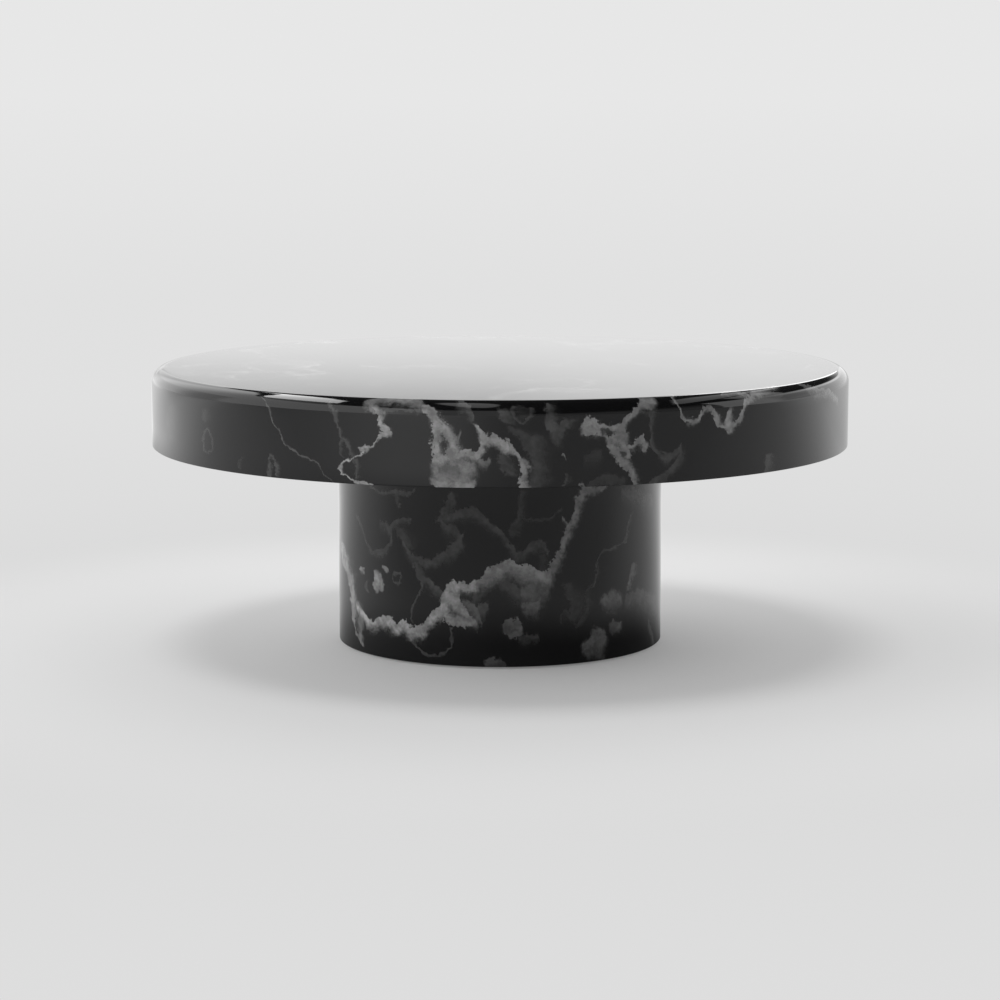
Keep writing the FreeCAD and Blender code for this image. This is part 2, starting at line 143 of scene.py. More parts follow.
TOP_VEINS = [
    (0.36, 0.7, 0, [(262, 396, 0.48), (266, 404, 0.48), (270, 413, 0.56), (273, 424, 0.64),
        (280, 432, 0.64), (284, 441, 0.72), (294, 452, 0.8), (308, 459, 0.8), (320, 464, 0.72),
        (325, 473, 0.64), (335, 484, 0.56)]),
    (0.26, 1.5, 0, [(327, 403, 2.5), (331, 408, 2.5), (335, 414, 1.5), (337, 425, 1.2), (342, 436, 1.5),
        (348, 443, 2.2), (350, 452, 2), (354, 461, 1.5), (357, 468, 1.5), (357, 479, 1.2)]),
    (0.22, 1.2, 0, [(343, 440, 1.5), (340, 447, 1.5), (340, 454, 1.5), (344, 458, 1)]),
    (0.34, 2, 7, [(460, 401, 3), (465, 405, 4), (470, 412, 4), (473, 417, 2)]),
    (0.27, 3, 7, [(500, 409, 4), (505, 416, 5), (508, 424, 3)]),
    (0.26, 0.9, 2, [(513, 406, 1.5), (513, 413, 1.5), (517, 420, 1.6), (523, 423, 1.6), (529, 419, 1.5),
        (532, 412, 1.5), (531, 407, 1.3)]),
    (0.15, 2.5, 4, [(514, 409, 3), (520, 411, 6), (527, 412, 6), (532, 410, 3)]),
    (0.22, 4, 7, [(512, 428, 4), (520, 434, 8), (530, 440, 10), (534, 452, 7), (536, 466, 6), (535, 480, 6),
        (533, 489, 5)]),
    (0.22, 3, 7, [(500, 455, 3), (504, 464, 5), (508, 474, 4)]),
    (0.28, 2, 7, [(547, 404, 2), (548, 414, 2.5), (550, 424, 4), (554, 432, 6), (560, 433, 6),
        (565, 427, 4), (568, 419, 3)]),
    (0.48, 0.8, 0, [(561, 455, 0.7), (563, 457, 1.3), (565, 459, 0.7)]),
    (0.48, 0.8, 0, [(579, 483, 1), (582, 484, 2.5), (585, 486, 1)]),
    (0.22, 1.5, 0, [(566, 473, 1), (567, 479, 2.5), (564, 485, 1.5)]),
    (0.17, 3, 7, [(588, 486, 3), (600, 481, 4), (612, 478, 4), (624, 481, 3)]),
    (0.13, 3, 7, [(586, 460, 3), (594, 455, 5), (601, 452, 3)]),
    (0.24, 1.5, 3, [(655, 402, 2), (652, 412, 2), (651, 424, 1.5), (652, 438, 1.5), (654, 449, 2),
        (660, 455, 3), (668, 458, 4), (675, 453, 3.5), (680, 446, 2)]),
    (0.22, 1.5, 3, [(679, 447, 2), (680, 458, 2.5), (674, 468, 3), (666, 476, 3.5), (656, 481, 3.5),
        (648, 486, 2)]),
    (0.58, 0.9, 0, [(669, 394, 0.8), (675, 402, 0.9), (680, 410, 1.2), (684, 418, 2.5), (690, 421, 3.5),
        (696, 420, 3), (702, 413, 2.5), (708, 407, 2.5), (713, 409, 2.5), (716, 416, 3)]),
    (0.62, 1, 0, [(714, 410, 2), (716, 418, 3), (720, 425, 3.5), (726, 428, 3)]),
    (0.66, 1, 0, [(730, 434, 2.5), (730, 426, 3.5), (729, 418, 4), (730, 411, 3)]),
    (0.62, 1, 0, [(728, 430, 3), (733, 426, 2.5), (738, 420, 3), (743, 413, 4), (746, 404, 4),
        (750, 397, 4)]),
    (0.58, 2, 0, [(748, 398, 3), (756, 393, 4), (766, 390, 4), (776, 386, 3)]),
    (0.56, 2, 0, [(722, 394, 2), (730, 392, 3.5), (740, 393, 3.5), (750, 396, 3)]),
    (0.48, 2, 0, [(796, 384, 2), (804, 386, 4), (812, 389, 3.5), (822, 391, 3), (830, 394, 3),
        (838, 400, 2)]),
    (0.38, 2, 0, [(806, 389, 2), (815, 393, 3), (826, 396, 2)]),
    (0.25, 2, 7, [(768, 456, 2), (768, 464, 3), (766, 474, 2.5)]),
    (0.22, 1, 0, [(207, 428, 1), (203, 438, 1), (203, 446, 1), (208, 453, 1)]),
    (0.22, 1, 0, [(207, 428, 1), (211, 436, 1), (212, 446, 1), (209, 453, 1)]),
    (0.16, 1.5, 7, [(204, 410, 2), (204, 416, 2.5), (205, 420, 1.5)]),
    (0.25, 1.2, 0, [(271, 454, 1), (269, 464, 1.6), (269, 478, 1.6)]),
    (0.25, 1.2, 0, [(271, 454, 1), (275, 463, 1.6), (277, 477, 1.6)]),
    (0.16, 1.2, 0, [(242, 456, 1), (240, 462, 2), (239, 468, 1)]),
    (0.14, 3, 7, [(172, 408, 3), (171, 422, 5), (172, 436, 3)]),
    (0.62, 1.5, 3, [(366, 403, 3), (372, 402, 3.5), (382, 400, 3), (394, 400, 2.5), (406, 400, 3),
        (414, 401, 3.5), (421, 404, 4)]),
    (0.5, 1.5, -2, [(368, 409, 3), (374, 409, 3), (380, 409, 2)]),
    (0.26, 1.5, -2, [(382, 409, 2), (392, 410, 1.6), (402, 410, 1.6), (414, 409, 2.4)]),
    (0.66, 1.2, 2, [(370, 402, 4), (374, 407, 5), (379, 412, 4), (381, 418, 3)]),
    (0.76, 0.8, 1, [(379, 414, 2.6), (380, 420, 2.2), (381, 424, 2.8), (384, 428, 3.6), (385, 433, 2.6),
        (381, 436, 2)]),
    (0.72, 0.8, 1, [(378, 425, 1.5), (383, 426, 2.4), (388, 430, 2)]),
    (0.72, 0.8, 1, [(380, 433, 1.6), (386, 433, 2.4), (390, 434, 1.2)]),
    (0.79, 0.8, 0, [(382, 434, 2), (378, 438, 1.4), (375, 441, 1.4), (371, 445, 1.8), (366, 448, 2.6),
        (362, 451, 2.2), (357, 455, 1.4), (350, 458, 1.4), (344, 463, 1.4), (341, 467, 1.5),
        (342, 473, 1.3), (348, 477, 1.4), (355, 481, 1.8), (362, 484, 1.8), (372, 486, 1)]),
    (0.7, 0.8, 0, [(361, 447, 1.2), (365, 448, 2.6), (368, 449, 1.2)]),
    (0.7, 1.2, 3, [(426, 408, 4), (431, 413, 5), (436, 420, 5), (437, 430, 5), (436, 440, 5), (437, 450, 5),
        (440, 458, 5)]),
    (0.68, 1.2, -3, [(424, 405, 4), (431, 410, 5), (436, 417, 5), (440, 425, 5), (443, 433, 5)]),
    (0.68, 1.2, 2, [(441, 424, 5), (446, 432, 6), (451, 439, 6), (453, 446, 6), (455, 453, 6),
        (458, 459, 5)]),
    (0.46, 1.2, -2, [(452, 440, 3), (457, 440, 3), (461, 434, 2)]),
    (0.7, 1.2, 4, [(432, 462, 3), (438, 460, 4), (447, 459, 4), (456, 458, 4), (466, 456, 5),
        (474, 457, 4)]),
    (0.6, 2, 4, [(434, 470, 7), (440, 474, 13), (455, 475, 15), (466, 474, 14), (471, 473, 9)]),
    (0.64, 1.2, -4, [(432, 482, 4), (442, 485, 4), (456, 486, 4), (468, 486, 4), (473, 484, 4)]),
    (-0.55, 1, 0, [(439, 443, 2), (442, 443, 3.4), (446, 443, 3.4), (449, 443, 2)]),
    (-0.32, 3, 2, [(440, 470, 3), (447, 469, 5), (455, 470, 5), (461, 471, 3)]),
    (0.7, 1.2, 1, [(470, 458, 4), (477, 456, 4.5), (481, 450, 4.5), (484, 444, 5), (487, 439, 5)]),
    (0.68, 1.2, 1, [(475, 428, 3), (479, 432, 4.5), (483, 437, 5.5), (487, 441, 5)]),
    (0.7, 1.2, 2, [(484, 440, 4.5), (490, 440, 5), (497, 442, 4.5), (503, 446, 4.5), (510, 448, 4)]),
    (0.46, 2, 3, [(478, 462, 4), (485, 463, 3.5), (490, 460, 2.5)]),
    (0.62, 1, 1, [(505, 446, 4), (512, 448, 4), (517, 453, 3.6), (521, 459, 3.6), (524, 466, 3.8),
        (523, 474, 3.6), (522, 480, 3.6), (526, 488, 4)]),
    (0.6, 1, 0, [(506, 440, 1.8), (510, 441, 2.6), (513, 445, 2.2), (516, 449, 2)]),
    (0.62, 1, 3, [(582, 427, 4), (586, 424, 6.5), (591, 424, 7), (596, 426, 6.5), (601, 429, 5)]),
    (0.55, 1, -2, [(583, 430, 3), (588, 430, 5), (594, 430, 5), (601, 430, 5)]),
    (0.61, 1.2, 2, [(598, 428, 5), (605, 428, 4), (613, 428, 4), (621, 427, 4.5), (626, 424, 4)]),
    (0.58, 1.2, 2, [(603, 432, 4), (606, 439, 4), (609, 446, 4.5), (613, 450, 4)]),
    (0.58, 1.5, 4, [(608, 441, 4), (615, 440, 7), (622, 438, 8), (627, 438, 5)]),
    (0.58, 1.2, -3, [(621, 427, 5), (621, 435, 5), (622, 443, 5), (625, 451, 5), (626, 459, 4)]),
    (0.58, 1.2, 2, [(611, 446, 5), (616, 453, 5.5), (620, 459, 5), (625, 464, 5), (629, 469, 4.5),
        (632, 476, 4), (634, 482, 3.4), (636, 488, 2.4)]),
    (-0.6, 1, 0, [(602, 432, 2), (606, 432, 3.2), (610, 432, 3.2), (613, 433, 1.6)]),
    (-0.55, 1, 0, [(619, 454, 1.4), (622, 454, 2.4), (625, 454, 1.4)]),
    (0.58, 1.2, 2, [(628, 446, 2.4), (634, 446, 3), (638, 442, 4), (642, 442, 4.5), (645, 446, 3.5),
        (644, 451, 2)]),
    (0.6, 1.2, 2, [(622, 426, 4), (628, 419, 3.6), (634, 412, 3.8), (638, 407, 4.5), (642, 403, 6),
        (648, 401, 6.5), (653, 400, 5)]),
    (0.54, 1, -2, [(640, 405, 3), (646, 406, 3.5), (652, 406, 3)]),
]
DRUM_VEINS = [
    (0.24, 1.2, 0, [(366, 485, 1), (374, 489, 1.5), (383, 493, 1.5), (395, 491, 2), (406, 493, 2),
        (414, 489, 1.2)]),
    (0.2, 1.2, 0, [(396, 492, 1.5), (397, 500, 2), (398, 506, 1)]),
    (0.61, 1.5, 0, [(343, 545, 2), (345, 556, 4), (346, 566, 4.5), (350, 576, 4), (351, 584, 3),
        (353, 594, 3), (354, 602, 4)]),
    (0.57, 1, 0, [(354, 600, 3), (354, 612, 3), (357, 624, 3.5), (360, 637, 3), (362, 645, 1.5)]),
    (0.52, 1, 0, [(358, 603, 3), (361, 612, 3), (361, 624, 2.5), (360, 634, 2)]),
    (-0.7, 0.6, 0, [(356, 618, 0.8), (357, 625, 1.6), (358, 633, 0.8)]),
    (0.46, 1.2, 0, [(561, 519, 1.6), (565, 523, 2.4), (569, 528, 2.4)]),
    (0.48, 1.5, 0, [(580, 493, 4), (586, 490, 5), (594, 490, 4), (602, 487, 3), (608, 484, 2)]),
    (0.3, 3, 5, [(476, 612, 4), (480, 611, 8), (484, 609, 7), (488, 606, 3)]),
    (0.22, 1.5, 5, [(356, 514, 1.2), (361, 524, 1.5), (366, 538, 1.5), (370, 548, 2), (376, 552, 2.5),
        (383, 551, 3), (388, 545, 3.5), (391, 537, 3.5), (388, 529, 3), (386, 524, 2.5)]),
    (0.22, 1.5, 5, [(388, 531, 3), (394, 524, 3), (402, 520, 2.5), (411, 520, 1.5)]),
    (0.19, 2.5, 7, [(397, 528, 3), (402, 534, 6), (406, 542, 5), (408, 548, 2)]),
    (0.18, 2, 7, [(380, 523, 3), (386, 526, 4), (391, 530, 3)]),
    (0.25, 2.2, 7, [(402, 541, 2.5), (406, 548, 2.5), (412, 556, 3), (420, 560, 3), (430, 562, 3),
        (438, 558, 4), (446, 553, 5), (454, 549, 6), (461, 543, 6), (464, 537, 4)]),
    (0.23, 2.2, 7, [(463, 542, 5), (458, 534, 5), (451, 529, 5), (443, 525, 4), (440, 519, 3.5),
        (444, 511, 3), (448, 503, 2.5), (450, 492, 1.8)]),
    (0.24, 2.2, 7, [(444, 516, 3), (452, 514, 3.5), (461, 512, 4), (471, 512, 4.5), (480, 516, 4),
        (488, 522, 3), (497, 530, 2.5), (504, 536, 2.5)]),
    (0.24, 2.2, 7, [(502, 535, 3), (507, 543, 4.5), (513, 550, 4), (519, 555, 3), (525, 552, 3),
        (530, 546, 4), (538, 544, 4), (545, 546, 3.5), (549, 552, 2)]),
    (0.19, 2.5, 7, [(513, 536, 2.5), (515, 526, 4), (518, 514, 2), (519, 500, 1.5), (521, 490, 1.5)]),
    (0.19, 1.2, 0, [(519, 514, 1.2), (528, 519, 1.2), (538, 520, 1.2), (548, 519, 1.2), (557, 513, 1.2),
        (563, 508, 1)]),
    (0.16, 2.5, 7, [(541, 555, 2), (542, 564, 2.5), (543, 572, 2)]),
    (0.27, 1.2, 5, [(414, 563, 2.5), (418, 570, 3.5), (420, 577, 3), (421, 583, 1.5)]),
    (0.26, 0.7, 0, [(420, 579, 1.2), (421, 589, 1), (418, 597, 0.9), (413, 605, 0.9), (411, 613, 0.9),
        (413, 622, 0.9)]),
    (0.27, 1, 0, [(413, 637, 1), (415, 645, 1.2), (422, 652, 1.3), (430, 656, 1.4), (440, 655, 1.4),
        (449, 651, 1.4), (453, 643, 1.2), (452, 634, 1), (451, 627, 1)]),
    (0.27, 2, 7, [(422, 578, 3), (428, 582, 3.5), (434, 587, 3), (440, 592, 2)]),
    (0.68, 0.8, 0, [(376, 572, 2), (378, 578, 4), (377, 585, 4), (377, 591, 2)]),
    (0.57, 0.8, 0, [(380, 576, 1.5), (382, 583, 1.5), (381, 592, 1.5)]),
    (0.59, 0.8, 0, [(359, 569, 1.5), (362, 570, 3), (365, 570, 1.5)]),
    (0.52, 0.8, 0, [(382, 567, 2), (385, 569, 3), (388, 571, 1.5)]),
    (0.27, 0.8, 0, [(392, 577, 1.2), (395, 574, 1.2), (399, 574, 1.2), (402, 578, 1.2)]),
    (0.27, 0.8, 0, [(392, 577, 1.2), (394, 582, 1.2), (398, 583, 1.2), (402, 579, 1.2)]),
    (0.23, 0.8, 0, [(368, 581, 1), (366, 586, 1), (369, 592, 1)]),
    (0.38, 6, 0, [(602, 600, 4), (608, 600, 8), (614, 598, 9), (620, 598, 5)]),
    (0.4, 6, 0, [(583, 645, 3), (588, 645, 8), (594, 641, 12), (600, 642, 13), (606, 640, 6)]),
    (0.4, 4, 0, [(592, 632, 4), (598, 632, 5), (604, 634, 4)]),
    (0.37, 3, 0, [(610, 626, 3), (615, 625, 6), (620, 625, 4)]),
    (0.31, 2, 7, [(484, 664, 2), (490, 661, 4), (496, 662, 4), (504, 664, 2)]),
    (0.35, 1.5, 7, [(634, 565, 1.5), (632, 574, 2.5), (629, 583, 2), (627, 590, 1.5)]),
    (0.21, 1.2, 0, [(632, 512, 1), (628, 528, 1), (625, 540, 1), (618, 546, 1.2), (610, 549, 1),
        (602, 553, 1), (598, 562, 1), (596, 574, 1), (594, 588, 1)]),
    (0.27, 4, 7, [(626, 598, 4), (636, 596, 7), (646, 600, 9), (656, 604, 7)]),
    (0.25, 4, 7, [(622, 490, 3), (632, 494, 6), (642, 497, 7), (652, 502, 5)]),
    (0.31, 3, 7, [(648, 620, 3), (651, 632, 4), (654, 646, 3)]),
    (0.17, 3, 7, [(566, 584, 3), (572, 594, 5), (576, 606, 5), (574, 620, 4)]),
    (0.16, 1.5, 4, [(592, 584, 1.5), (587, 595, 2.5), (588, 606, 2), (583, 618, 2), (577, 627, 1.5)]),
    (0.15, 1.5, 4, [(560, 619, 2), (566, 613, 3), (572, 617, 3), (576, 626, 1.5)]),
    (0.26, 4, 0, [(500, 582, 4), (508, 586, 8), (516, 592, 9), (523, 598, 5)]),
    (0.77, 1, 7, [(357, 607, 3.5), (361, 611, 4), (366, 618, 3.6), (371, 624, 3.4), (375, 623, 4.2),
        (380, 620, 5.5), (385, 620, 5.2), (390, 621, 5.6), (394, 625, 5), (398, 627, 4.6), (403, 624, 5),
        (408, 628, 5), (414, 631, 5.4), (420, 631, 5.8), (425, 628, 5.6), (428, 623, 5.8), (432, 618, 5.8),
        (437, 615, 5.2), (442, 613, 4.8)]),
    (0.74, 1, 6, [(441, 598, 3.5), (445, 592, 4), (449, 588, 4.5), (454, 587, 5), (460, 587, 5),
        (470, 588, 4.5), (477, 586, 4.5)]),
    (0.63, 1, 24, [(474, 587, 4), (479, 583, 4.5), (484, 577, 4.5), (490, 573, 4.5), (497, 570, 4.5),
        (503, 566, 4.5), (508, 564, 5), (515, 566, 5), (521, 570, 4.5), (530, 571, 4.5), (538, 573, 4.5),
        (545, 575, 4.5), (551, 573, 5)]),
    (0.53, 1.2, 7, [(551, 573, 4.5), (555, 563, 4), (559, 553, 3.2), (562, 545, 3), (565, 536, 3),
        (569, 528, 3.2), (572, 520, 3), (576, 510, 2.8), (579, 500, 3), (583, 493, 3.6)]),
    (0.74, 1.2, 5, [(444, 594, 4), (444, 602, 4.5), (444, 610, 4.5), (446, 618, 4)]),
    (0.68, 1.5, 6, [(441, 600, 3), (446, 598, 6), (452, 599, 8), (458, 604, 9), (464, 612, 7),
        (470, 618, 5), (475, 623, 3)]),
    (0.64, 1.2, -5, [(444, 616, 4), (452, 619, 5), (460, 621, 5), (468, 622, 5), (475, 622, 3)]),
    (0.4, 4, 4, [(462, 602, 4), (470, 606, 6), (476, 612, 6), (480, 620, 3)]),
    (-0.45, 2.5, 2, [(462, 593, 2), (468, 594, 3.5), (475, 594, 3.5), (481, 592, 2)]),
    (0.38, 4, 5, [(522, 591, 6), (529, 592, 10), (537, 590, 14), (544, 586, 13), (550, 580, 9),
        (555, 572, 5)]),
    (0.39, 3, 3, [(522, 604, 4), (528, 608, 6), (534, 608, 6), (540, 602, 6)]),
    (0.42, 2, 3, [(504, 627, 3), (508, 625, 6), (514, 624, 6.5), (519, 626, 5), (522, 628, 3)]),
    (0.4, 2, -3, [(504, 631, 3), (509, 633, 5), (515, 634, 5), (521, 633, 4)]),
    (0.24, 2, 7, [(519, 637, 3), (526, 638, 3), (533, 637, 2), (539, 634, 1.4)]),
]


def add(tree, kind, inputs=None, **settings):
    """Adds a node, gives it its settings, and fills inputs from numbers or from other nodes' sockets."""
    made = tree.nodes.new(kind)
    for name, value in settings.items():
        setattr(made, name, value)
    for name, value in (inputs or {}).items():
        if isinstance(value, bpy.types.NodeSocket):
            tree.links.new(value, made.inputs[name])
        else:
            made.inputs[name].default_value = value
    return made


def add_on(kind, inputs, **settings):
    """Adds a node where the first socket among its inputs is."""
    tree = next(value.id_data for value in inputs.values() if isinstance(value, bpy.types.NodeSocket))
    return add(tree, kind, inputs, **settings)


def place(group, **inputs):
    """Places a node group and fills its inputs by name, with _ for a space."""
    named = {name.replace("_", " "): value for name, value in inputs.items()}
    return add_on("ShaderNodeGroup", named, node_tree=group).outputs


def hand_on(sockets, **values):
    """Links values to sockets by name, with _ for a space."""
    for name, value in values.items():
        value.id_data.links.new(value, sockets[name.replace("_", " ")])


def sum_up(operation, *values):
    """The result of one sum."""
    return add_on("ShaderNodeMath", dict(enumerate(values)), operation=operation).outputs[0]


def product(*values):
    result = values[0]
    for value in values[1:]:
        result = sum_up("MULTIPLY", result, value)
    return result


def largest(*values):
    result = values[0]
    for value in values[1:]:
        result = sum_up("MAXIMUM", result, value)
    return result


def slope(value, start, end, low=0.0, high=1.0, kind="LINEAR"):
    """Low up to start and high from end on, with an even change between."""
    made = add_on("ShaderNodeMapRange", {0: value, 1: start, 2: end, 3: low, 4: high},
                  interpolation_type=kind)
    return made.outputs[0]


def ease(value, start, end, low=0.0, high=1.0):
    """Low up to start and high from end on, with a smooth change between."""
    return slope(value, start, end, low, high, "SMOOTHSTEP")


def fade(value, start, end):
    """One up to start and nothing from end on, with a smooth change between."""
    return ease(value, start, end, 1.0, 0.0)


def between(value, low, high, softness):
    """One from low to high and nothing beyond, with soft ends."""
    half = softness / 2
    return product(ease(value, low - half, low + half), fade(value, high - half, high + half))


def mix(share, first, second, kind="FLOAT"):
    """First where share is nothing and second where it is one."""
    made = add_on("ShaderNodeMix", {"Factor": share, "A": first, "B": second}, data_type=kind)
    return made.outputs["Result"]


def axes(vector):
    """The X, Y and Z of a vector."""
    return add_on("ShaderNodeSeparateXYZ", {0: vector}).outputs


def length(vector):
    return add_on("ShaderNodeVectorMath", {0: vector}, operation="LENGTH").outputs["Value"]


def noise(vector, scale, detail=4.0, roughness=0.55, gives="Fac"):
    made = add_on("ShaderNodeTexNoise",
                  {"Vector": vector, "Scale": scale, "Detail": detail, "Roughness": roughness})
    return made.outputs[gives]


def wander(vector, scale, reach, detail=3.0, roughness=0.55):
    """Moves points about by up to half of reach."""
    cloud = noise(vector, scale, detail, roughness, "Color")
    centred = add_on("ShaderNodeVectorMath", {0: cloud, 1: (0.5, 0.5, 0.5)}, operation="SUBTRACT")
    return add_on("ShaderNodeVectorMath", {0: centred.outputs[0], 1: (reach,) * 3, 2: vector},
                  operation="MULTIPLY_ADD").outputs[0]


def stretched(vector, scale):
    """Squeezes a pattern by a scale of its own along each axis."""
    return add_on("ShaderNodeMapping", {"Vector": vector, "Scale": scale}).outputs[0]


def colour_ramp(value, stops):
    """Value to colour through (place, colour) stops in rising order."""
    ramp = add_on("ShaderNodeValToRGB", {0: value})
    elements = ramp.color_ramp.elements
    for number, (share, colour) in enumerate([stops[0], stops[-1], *stops[1:-1]]):
        element = elements[number] if number < 2 else elements.new(share)
        element.position = share
        element.color = (*colour, 1.0)
    return ramp.outputs[0]


def grey_ramp(value, stops):
    """Value to grey through (place, level) stops in rising order."""
    return colour_ramp(value, [(share, (level,) * 3) for share, level in stops])


def new_group(name, takes, gives):
    """A node group with named sockets, and the sockets that it takes from and gives to."""
    group = bpy.data.node_groups.new(name, "ShaderNodeTree")
    for way, sockets in (("INPUT", takes), ("OUTPUT", gives)):
        for socket, kind in sockets.items():
            group.interface.new_socket(socket, in_out=way, socket_type=f"NodeSocket{kind}")
    return group, group.nodes.new("NodeGroupInput").outputs, group.nodes.new("NodeGroupOutput").inputs


def make_unrolling():
    """Position to the way around a round stone, and up its side and over its rounded edge."""
    tree, takes, gives = new_group(
        "unrolled_stone",
        {"Position": "Vector", "Radius": "Float", "Shoulder": "Float", "Rounding": "Float"},
        {"Around": "Float", "Up": "Float"})
    x, y, z = axes(takes["Position"])
    reach = length(add_on("ShaderNodeCombineXYZ", {0: x, 1: y}).outputs[0])
    angle = sum_up("ARCTAN2", x, product(y, -1.0))
    around = product(angle, takes["Radius"])

    edge_reach = sum_up("SUBTRACT", takes["Radius"], takes["Rounding"])
    above = largest(sum_up("SUBTRACT", z, takes["Shoulder"]), 0.0)
    beyond = largest(sum_up("SUBTRACT", reach, edge_reach), 0.0)
    over_edge = product(sum_up("ARCTAN2", above, beyond), takes["Rounding"])
    side = sum_up("MINIMUM", z, takes["Shoulder"])
    inwards = largest(sum_up("SUBTRACT", edge_reach, reach), 0.0)
    up = sum_up("ADD", sum_up("ADD", side, over_edge), inwards)
    hand_on(gives, Around=around, Up=up)
    return tree


def make_placed_vein():
    """One vein, crisp on one side and smoky on the other."""
    tree, takes, gives = new_group(
        "placed_vein",
        {"Course": "Color", "Across": "Float", "Start": "Float", "Span": "Float", "Widest": "Float",
         "Softness": "Float", "Smoke": "Float", "Crisp Side": "Float", "Swell": "Float", "Fray": "Float"},
        {"Vein": "Float"})
    centre_share, width_share, paleness = add_on("ShaderNodeSeparateColor", {0: takes["Course"]}).outputs
    centre = sum_up("MULTIPLY_ADD", centre_share, takes["Span"], takes["Start"])
    from_centre = sum_up("SUBTRACT", takes["Across"], centre)
    off_centre = product(from_centre, takes["Crisp Side"])
    half_width = product(width_share, takes["Widest"], takes["Swell"])
    crumbs = product(takes["Fray"], sum_up("MINIMUM", half_width, LARGEST_CRUMB))
    depth = sum_up("ADD", sum_up("SUBTRACT", half_width, off_centre), crumbs)
    outside = product(takes["Softness"], -1.0)
    crisp = ease(depth, outside, takes["Softness"], 0.0, paleness)
    smoke_from = product(half_width, SMOKE_FROM)
    spread = sum_up("MULTIPLY_ADD", takes["Softness"], 2.0, takes["Smoke"])
    smoke_to = sum_up("MULTIPLY_ADD", half_width, SMOKE_TO, spread)
    body = product(crisp, fade(depth, smoke_from, smoke_to))
    hand_on(gives, Vein=body)
    return tree


def make_wandering_veins():
    """Veins with no set place: clouds with one crisp side, thin cracks and faint smoke."""
    tree, takes, gives = new_group("wandering_veins", {"Position": "Vector"}, {"Veins": "Float"})
    position = takes["Position"]
    bent = wander(position, 4.0, reach=0.16, detail=4.0)
    ragged = wander(bent, 46.0, reach=0.020, detail=7.0, roughness=0.64)
    mottle = ease(noise(ragged, 24.0, detail=5.0, roughness=0.6), 0.30, 0.66, 0.40, 1.0)

    pale = 0.0
    clouds = [((0.0, 0.0, 0.0), 2.6, 0.075, 0.92), ((3.1, 7.7, 5.3), 3.9, 0.050, 0.78)]
    for apart, scale, smoke_reach, paleness in clouds:
        moved = add_on("ShaderNodeVectorMath", {0: ragged, 1: apart}).outputs[0]
        field = sum_up("SUBTRACT", noise(moved, scale, detail=3.0, roughness=0.5), 0.5)
        crisp = ease(field, -0.002, 0.004)
        smoke = ease(field, 0.0, smoke_reach, paleness, 0.0)
        region = add_on("ShaderNodeVectorMath", {0: position, 1: apart}).outputs[0]
        here = ease(noise(region, 3.4, detail=2.0), 0.45, 0.58)
        pale = largest(product(crisp, smoke, here, mottle), pale)

    crack_field = noise(ragged, 5.2, detail=2.0, roughness=0.5)
    off_crack = sum_up("ABSOLUTE", sum_up("SUBTRACT", crack_field, 0.52))
    crack_here = ease(noise(position, 6.0, detail=2.0), 0.43, 0.60, 0.0, 0.60)
    thin = product(fade(off_crack, 0.0, 0.008), crack_here)
    haze = ease(noise(ragged, 9.0, detail=4.0, roughness=0.6), 0.56, 0.74, 0.0, 0.26)
    hand_on(gives, Veins=largest(pale, thin, haze))
    return tree


def make_stone_colour():
    """Paleness of the veins to the colour, polish and relief of the stone."""
    tree, takes, gives = new_group(
        "stone_colour", {"Position": "Vector", "Veins": "Float"},
        {"Colour": "Color", "Roughness": "Float", "Relief": "Float"})
    grains = noise(takes["Position"], 60.0, detail=6.0, roughness=0.65)
    clouding = ease(grains, 0.30, 0.68, 0.72, 1.12)
    veins = product(takes["Veins"], clouding)
    black = (0.0042, 0.0042, 0.0045)
    pale_tones = [(0.09, 0.011), (0.18, 0.028), (0.30, 0.060), (0.42, 0.102), (0.56, 0.165), (0.72, 0.26),
                  (0.88, 0.39), (1.00, 0.52)]
    colour = colour_ramp(veins, [(0.0, black), *((share, (tone,) * 3) for share, tone in pale_tones)])
    roughness = ease(veins, 0.0, 0.8, 0.035, 0.075)
    hand_on(gives, Colour=colour, Roughness=roughness, Relief=grains)
    return tree


def make_birch_grain():
    """Pale birch with long grain along X."""
    tree, takes, gives = new_group("birch_grain", {"Position": "Vector"},
                                   {"Colour": "Color", "Grain": "Float"})
    waved = wander(takes["Position"], 5.0, reach=0.03, detail=2.0)
    bands = noise(stretched(waved, (4.0, 60.0, 60.0)), 1.0, detail=4.0)
    pores = noise(stretched(waved, (60.0, 1600.0, 1600.0)), 1.0, detail=2.0)
    grain = sum_up("MULTIPLY_ADD", bands, 0.75, product(pores, 0.25))
    colour = colour_ramp(grain, [(0.30, (0.46, 0.31, 0.17)), (0.52, (0.62, 0.46, 0.28)),
                                 (0.72, (0.72, 0.56, 0.37))])
    hand_on(gives, Colour=colour, Grain=grain)
    return tree


UNROLLING = make_unrolling()
PLACED_VEIN = make_placed_vein()
WANDERING_VEINS = make_wandering_veins()
STONE_COLOUR = make_stone_colour()
BIRCH_GRAIN = make_birch_grain()


def new_material(name):
    """A material, the sockets of its shader and the position on its object."""
    material = bpy.data.materials.new(name)
    material.use_nodes = True
    tree = material.node_tree
    position = add(tree, "ShaderNodeTexCoord").outputs["Object"]
    return material, tree.nodes["Principled BSDF"].inputs, position


def bump(height, strength, distance):
    made = add_on("ShaderNodeBump", {"Height": height, "Strength": strength, "Distance": distance})
    return made.outputs[0]


def set_course(curve, points, handle):
    """Bends one curve of a node through (share, value) points."""
    for number, (share, value) in enumerate(points):
        if number < 2:
            curve.points[number].location = (share, value)
        else:
            curve.points.new(share, value)
    for point in curve.points:
        point.handle_type = handle


